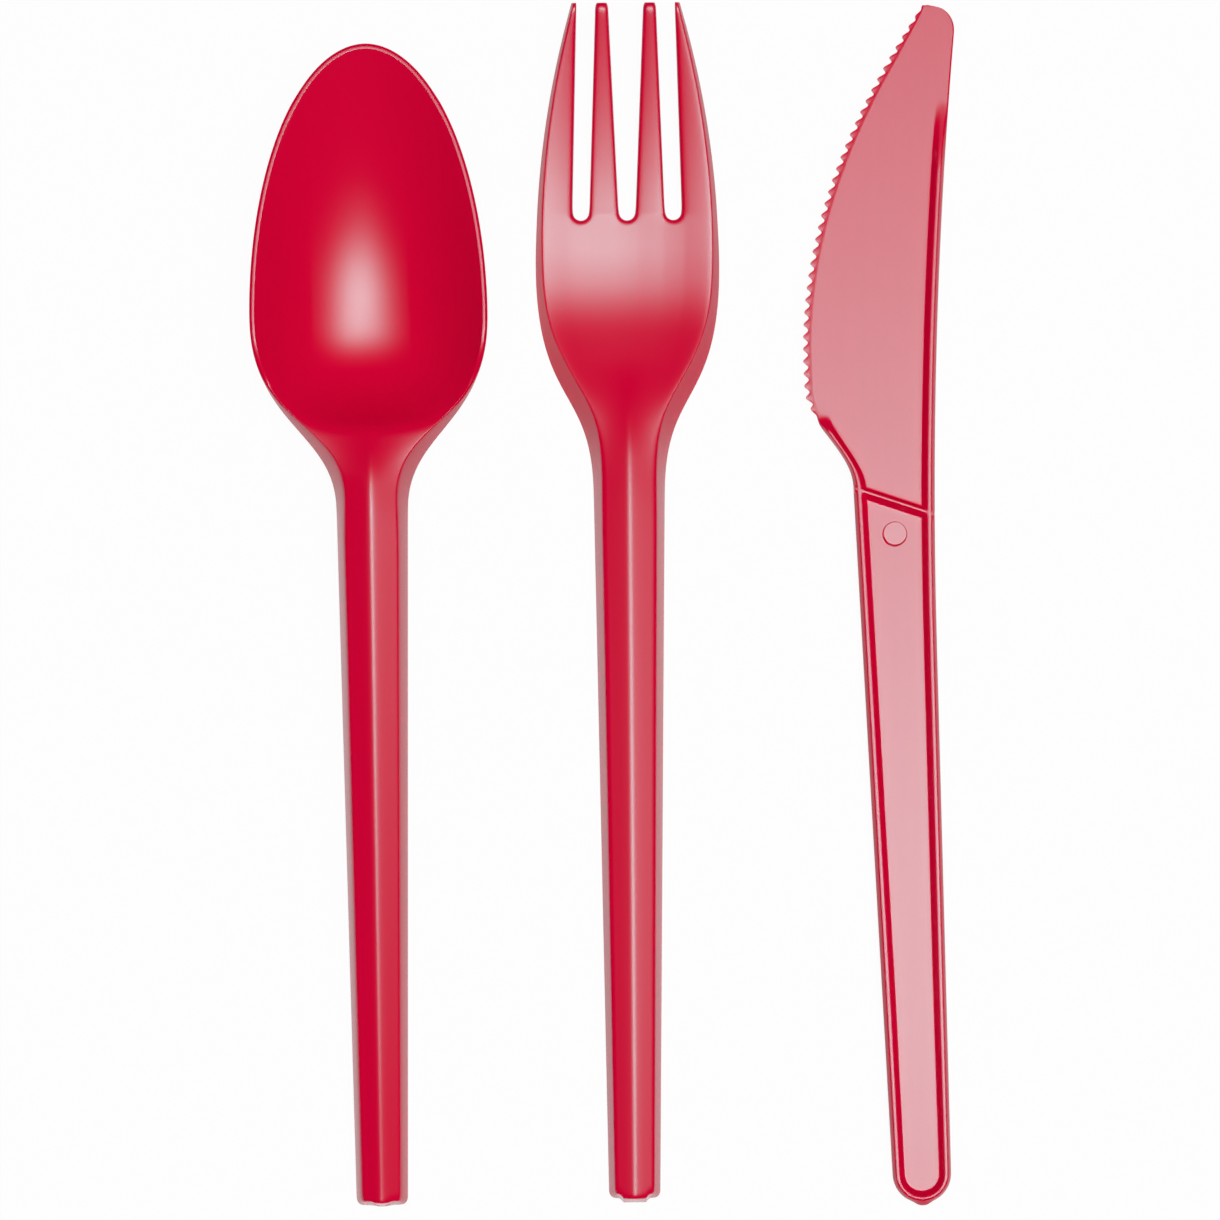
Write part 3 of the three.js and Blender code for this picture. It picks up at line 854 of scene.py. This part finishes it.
    def place(self, row: int, column: int, skin: Skin) -> Vector:
        """Return where a point of the sheet goes."""
        shell = self.handle
        line = self.lines[row]
        name = self.names[column]
        hand = -1.0 if column < self.columns / 2 else 1.0
        lean = line.lean
        flat = line.half - lean
        base = line.edge_z - line.depth
        x, y, fall = self.top(row, name)
        edge_z = self.bed(y) if self.root(row, name) else line.edge_z
        lift = line.ridge * shell.roof(x, flat) if line.ridge else 0.0
        lift -= line.dish * (1.0 - min(1.0, x / flat) ** 2)
        if skin is Skin.TOP:
            return Vector((hand * x, y + lean * line.end_shift, edge_z + lift - fall))
        if line.solid:
            return Vector((hand * (line.half if name == "A0" else x), line.y, base))
        tined = 1.0 if self.root(row, name) else ease(line.y, self.wide_y - self.tine_back, self.root_y)
        inner = flat - line.wall
        hollow = {"A0": line.half, "A1": line.half - line.wall, "A2": inner}
        blade = {"A0": lerp(x, line.half, self.BLADE_OUT), "A1": x + lean * self.BLADE_LEAN}
        under_x = lerp(hollow.get(name, x / (flat - shell.edge_round) * inner), blade.get(name, x), tined)
        ceiling = edge_z + lift - line.wall
        shift = {"A0": 0.0, "A1": line.wall}.get(name, line.wall + lean) * line.end_shift
        z = base if name == "A0" else min(base, ceiling) if name == "A1" else ceiling
        point_row = row - len(self.lines) + len(self.POINT_UNDER)
        if point_row >= 0:
            z = lerp(z, line.edge_z - line.depth / 2, self.POINT_UNDER[point_row])
        return Vector((hand * under_x, y + shift, z))


@dataclass
class Knife(Moulding):
    """The knife: a thin blade with saw teeth, and a panelled handle framed by ribs on both faces."""

    crease_deg: float = 38.0
    length: float = 168.4
    end_width: float = 8.25
    neck_width: float = 11.2
    neck_y: float = 101.4
    heel: float = 13.7
    belly_out: float = 12.0
    belly_y: float = 118.3
    edge_sweep: float = 18.9
    spine_sweep_y: float = 80.0
    spine_sweep: float = 5.15
    nose: float = 4.0
    thickness: float = 3.0
    web: float = 1.2
    edge_thickness: float = 1.04
    teeth: int = 35
    teeth_start: float = 112.2
    tooth_depth: float = 0.87
    rib_top_ends: Pair = (145.0, 155.0)
    rib_heel_ends: Pair = (109.2, 110.8)
    cross_y: float = 98.9
    cross_slope: float = -0.375
    cross_level: float = 3.0
    cross_reach: float = 13.0
    cross_height: float = 0.94
    blade_ends: Pair = (-3.0, 0.5)
    full_width: float = 9.0
    tooth_swing: Pair = (1.12, 1.24)
    tooth_land: float = 0.1
    mark_y: float = 94.3
    mark_radius: float = 1.75
    mark_depth: float = 0.18
    mark_tilt: tuple[float, float, float] = (0.05, -0.035, 0.0)
    mark_sides: int = 64
    gate_width: float = 2.0
    gate_stand: float = 0.35
    gate_side: float = 0.2
    gate_ends: Pair = (0.05, 0.4)
    handle_rows: int = 30
    heel_rows: int = 15
    edge_steps: int = 2000
    spin_steps: int = 26

    RIB_OUT = (0.0, 0.14, 0.28, 0.46, 0.55, 1.08, 1.17, 1.72, 1.82, 1.96)
    RIB_UP = (0.0, 0.28, 0.58, 0.93, 1.0, 1.0, 0.9, 0.1, 0.0, 0.0)
    WEB_SHARES = (0.16, 0.33, 0.5, 0.67, 0.84)
    CROSS_ROWS = (-1.25, -1.08, -0.98, -0.36, -0.26, 0.0, 0.2, 0.28, 0.42, 0.5, 0.75)
    CROSS_RISE, CROSS_FALL = (-1.03, 0.72), (0.46, 0.22)  # foot and width of the cross rib's two flanks
    EDGE_FALL = (0.16, 0.03, 0.0)  # of the rounded outline, on its first columns
    EDGE_KEEN = (0.0, 0.42, 0.85)  # how fast the cutting edge thickens there
    TOOTH = (1.0, 0.5, 0.0, 0.5)
    CREASE = 0.85
    LEVELS = 1
    MEETINGS = 8  # rounds in which a slanted row closes in on the outline

    def __post_init__(self) -> None:
        """Work out the rows, tooth by tooth along the blade."""
        radius = self.end_width / 2
        first = self.cross_y + self.CROSS_ROWS[0]
        self.rows = [(lerp(radius, first, count / self.handle_rows), 0.0) for count in range(self.handle_rows)]
        self.rows += [(self.cross_y + step, 0.0) for step in self.CROSS_ROWS]
        last = self.rows[-1][0]
        shares = [count / self.heel_rows for count in range(1, self.heel_rows)]
        self.rows += [(lerp(last, self.teeth_start, share), 0.0) for share in shares]
        shares = [count / self.edge_steps for count in range(self.edge_steps + 1)]
        fine = [lerp(self.teeth_start, self.length, share) for share in shares]
        run = [0.0]
        for low, high in zip(fine, fine[1:]):
            run.append(run[-1] + math.hypot(high - low, self.left(high) - self.left(low)))
        at = 0
        points = len(self.TOOTH) * self.teeth
        for count in range(points + 1):
            while run[at] < run[-1] * count / points - TINY:
                at += 1
            self.rows.append((fine[at], self.TOOTH[count % len(self.TOOTH)]))
        self.count = 2 * len(self.RIB_OUT) + len(self.WEB_SHARES) - 1

    def half(self, y: float) -> float:
        """Return the handle's half-width."""
        radius = self.end_width / 2
        if y < radius:
            return math.sqrt(max(0.0, radius**2 - (radius - y) ** 2))
        return lerp(radius, self.neck_width / 2, (y - radius) / (self.neck_y - radius))

    def left(self, y: float) -> float:
        """Return the outline's left side: handle, heel, then the line of the tooth tips."""
        heel = ease(y, self.neck_y, self.neck_y + self.heel)
        out = lerp(-self.half(min(y, self.neck_y)), -self.belly_out, heel)
        return out + self.edge_sweep * max(0.0, (y - self.belly_y) / (self.length - self.belly_y)) ** 2

    def right(self, y: float) -> float:
        """Return the outline's right side: handle, spine, then the round nose."""
        sweep = max(0.0, (y - self.spine_sweep_y) / (self.length - self.spine_sweep_y)) ** 2
        turn = min(self.nose, max(0.0, y - self.length + self.nose))
        return self.half(y) + self.spine_sweep * sweep - self.nose + math.sqrt(self.nose**2 - turn**2)

    def meet(self, side: Callable[[float], float], row_y: float, slope: float) -> float:
        """Return where a slanted row meets a side of the outline."""
        x = side(row_y)
        for _ in range(self.MEETINGS):
            x = side(min(self.length, row_y + slope * x))
        return x

    def place(self, row: int, column: int) -> Vector:
        """Return where a point of the upper face goes, measured from the middle of the thickness."""
        row_y, tooth = self.rows[row]
        slope = self.cross_slope * (1.0 - ease(abs(row_y - self.cross_y), self.cross_level, self.cross_reach))
        low, high = self.meet(self.left, row_y, slope), self.meet(self.right, row_y, slope)
        blade = ease(row_y - self.teeth_start, *self.blade_ends)
        squeeze = min(1.0, (high - low) / self.full_width)
        ribs = len(self.RIB_OUT)
        near = [offset * squeeze for offset in self.RIB_OUT]
        cut = self.tooth_depth * squeeze * blade
        left = [low + cut + offset for offset in near]
        left[0] = low + cut * (self.tooth_swing[0] - self.tooth_swing[1] * tooth)
        left[1] = low + lerp(near[1], cut + self.tooth_land * squeeze, blade)
        right = [high - offset for offset in near]
        between = [lerp(left[-1], right[-1], share) for share in self.WEB_SHARES]
        x = (left + between + right[::-1])[column]
        y = min(self.length, row_y + slope * x)
        web, top = self.web / 2, self.thickness / 2
        up, rim, edge = 0.0, web, len(self.EDGE_FALL)
        if column < ribs:
            up = self.RIB_UP[column] * (1.0 - ease(y, *self.rib_heel_ends))
            if column < edge:
                keen = lerp(self.edge_thickness / 2, web, self.EDGE_KEEN[column])
                rim = lerp(web - self.EDGE_FALL[column], keen, blade)
        elif column > self.count - ribs:
            up = self.RIB_UP[self.count - column] * (1.0 - ease(y, *self.rib_top_ends))
            if column > self.count - edge:
                rim = web - self.EDGE_FALL[self.count - column]
        lift = lerp(rim, top, up) if up else rim
        past = row_y - self.cross_y
        cross = (past - self.CROSS_RISE[0]) / self.CROSS_RISE[1]
        if past >= 0.0:
            cross = (self.CROSS_FALL[0] - past) / self.CROSS_FALL[1]
        if 0 < column < self.count and cross > 0.0:
            lift = max(lift, web + (top - web) * self.cross_height * min(1.0, cross))
        return Vector((x, y, lift))

    def build(self) -> Piece:
        """Shape the upper face, spin the handle's end, close it at mid-thickness and mirror it."""
        columns, rows = self.count, len(self.rows) - 1
        sheet = add_sheet(f"{self.node}_moulding", columns, rows)
        places = [address(vertex.co, columns, rows) for vertex in sheet.data.vertices]
        for vertex, (row, column, _) in zip(sheet.data.vertices, places):
            vertex.co = self.place(row, column)
        middle = columns // 2
        start = {at for at, (row, column, _) in enumerate(places) if row == 0 and column <= middle}
        select_parts(sheet, "edges", lambda edge: start.issuperset(edge.vertices))
        edit(sheet, "EDGE")
        radius = self.end_width / 2
        bpy.ops.mesh.spin(steps=self.spin_steps, angle=-math.pi, center=(0.0, radius, 0.0), axis=(0.0, 0.0, 1.0))
        bpy.ops.mesh.select_all(action="SELECT")
        bpy.ops.mesh.remove_doubles(threshold=2 * MERGE)
        bpy.ops.mesh.select_all(action="DESELECT")
        bpy.ops.mesh.select_non_manifold(extend=False)
        bpy.ops.transform.edge_crease(value=self.CREASE)
        bpy.ops.mesh.extrude_edges_move(TRANSFORM_OT_translate={"value": (0.0, 0.0, -self.web / 2)})
        bpy.ops.transform.resize(value=(1.0, 1.0, 0.0), center_override=(0.0, 0.0, 0.0))
        bpy.ops.object.mode_set(mode="OBJECT")
        for vertex in sheet.data.vertices:
            inside = 1.0 - ease(abs(vertex.co.x) - self.gate_width / 2, -self.gate_side, self.gate_side)
            vertex.co.y -= self.gate_stand * inside * (1.0 - ease(vertex.co.y, *self.gate_ends))
        apply_modifier(sheet, "MIRROR", {"use_axis": (False, False, True), "merge_threshold": 2 * MERGE})
        finish_mesh(sheet)
        apply_modifier(sheet, "SUBSURF", {"levels": self.LEVELS, "render_levels": self.LEVELS})
        self.sink_mark(sheet)
        return sheet

    def sink_mark(self, sheet: Piece) -> None:
        """Sink the shallow round mark of the ejector pin into the handle's panel."""
        floor = self.web / 2 - self.mark_depth
        bpy.ops.mesh.primitive_cone_add(
            vertices=self.mark_sides,
            radius1=self.mark_radius - self.mark_depth,
            radius2=self.mark_radius + self.mark_depth,
            depth=2 * self.mark_depth,
            location=(0.0, self.mark_y, floor + self.mark_depth),
            rotation=self.mark_tilt,
        )
        pin = bpy.context.object
        select_only(sheet)
        apply_modifier(sheet, "BOOLEAN", {"operation": "DIFFERENCE", "solver": "EXACT", "object": pin})
        bpy.data.objects.remove(pin, do_unlink=True)


@dataclass
class Studio:
    """The plain white table, the soft light over it and the camera that looks straight down."""

    paper: bpy.types.Material
    camera_x: float = 0.95
    camera_y: float = -0.45
    camera_height: float = 850.0
    frame_width: float = 172.07
    sensor: float = 36.0
    nearest: float = 10.0
    floor_size: float = 8.0
    panel_height: float = 6.0
    room_glow: float = 0.015
    panel_glow: float = 90.0
    panel: Series = (-0.75, 1.2, -0.36, 0.6)
    fades: tuple[tuple[str, float, float], ...] = (
        ("X", -0.0455, 0.1433),
        ("X", 0.2512, -0.1928),
        ("Y", -0.119, 0.0455),
        ("Y", -0.11, -0.106),
    )

    def add_camera(self) -> None:
        """Add the camera and make it the scene's own."""
        place = Vector((self.camera_x, self.camera_y, self.camera_height)) * MM
        bpy.ops.object.camera_add(location=place, rotation=(0.0, 0.0, 0.0))
        camera = bpy.context.object
        camera.data.sensor_width = self.sensor
        camera.data.lens = self.sensor * self.camera_height / self.frame_width
        camera.data.clip_start = self.nearest * MM
        bpy.context.scene.camera = camera

    def add_floor(self) -> None:
        """Add the white paper that the set lies on."""
        bpy.ops.mesh.primitive_plane_add(size=self.floor_size, location=(0.0, 0.0, 0.0))
        floor = bpy.context.object
        floor.name = "paper_floor"
        floor.data.materials.append(self.paper)

    def add_softbox(self) -> None:
        """Add the soft panel overhead, brightest a little to the right and to the front, faint at its edges."""
        left, right, front, back = (edge * self.panel_height for edge in self.panel)
        middle = ((left + right) / 2, (front + back) / 2, self.panel_height)
        bpy.ops.object.light_add(type="AREA", location=middle)
        lamp = bpy.context.object.data
        lamp.shape = "RECTANGLE"
        lamp.size, lamp.size_y = right - left, back - front
        lamp.energy = self.panel_glow * math.pi * lamp.size * lamp.size_y
        tree = empty_tree(lamp)
        where = add_node(tree, "NewGeometry", {}, {})
        split = add_node(tree, "SeparateXYZ", {}, {0: where.outputs["Position"]})
        level = 1.0
        for axis, centre, spread in self.fades:
            scale = 0.5 / (spread * self.panel_height)
            run = reckon(tree, "MULTIPLY_ADD", split.outputs[axis], scale, -0.5 * centre / spread)
            fade = reckon(tree, "MULTIPLY_ADD", reckon(tree, "TANH", run), 0.5, 0.5)
            level = reckon(tree, "MULTIPLY", level, fade)
        glow = add_node(tree, "Emission", {}, {"Strength": level})
        add_node(tree, "OutputLight", {}, {"Surface": glow.outputs[0]})

    def add_light(self) -> None:
        """Add the panel and the world: a dim room, white to the camera."""
        self.add_softbox()
        world = bpy.data.worlds.new("pale_room")
        bpy.context.scene.world = world
        tree = empty_tree(world)
        seen = add_node(tree, "LightPath", {}, {}).outputs["Is Camera Ray"]
        room, white = [
            add_node(tree, "Background", {"Color": linear(WHITE), "Strength": strength}, {}).outputs[0]
            for strength in (self.room_glow, 1.0)
        ]
        mix = add_node(tree, "MixShader", {}, {0: seen, 1: room, 2: white})
        add_node(tree, "OutputWorld", {}, {"Surface": mix.outputs[0]})

    def set_up(self) -> None:
        """Add the camera, the floor and the light."""
        self.add_camera()
        self.add_floor()
        self.add_light()
        bpy.context.scene.view_settings.view_transform = "Standard"


def main() -> None:
    """Build the set and its studio in order."""
    logging.basicConfig(level=logging.INFO, format="%(message)s")
    Studio(WhitePaper().make()).set_up()
    plastic = MouldedPolylactide().make()
    softer = RidgedHandle(ridge_slope=0.315, ridge_round=0.4, ridge_stays=5.0, ridge_fade=20.0, edge_round=0.4)
    Spoon("spoon", lean_deg=0.74, finish=plastic).make()
    Fork("fork", lean_deg=0.45, finish=plastic, handle=softer).make()
    Knife("knife", lean_deg=2.4, finish=plastic).make()


if __name__ == "__main__":
    main()
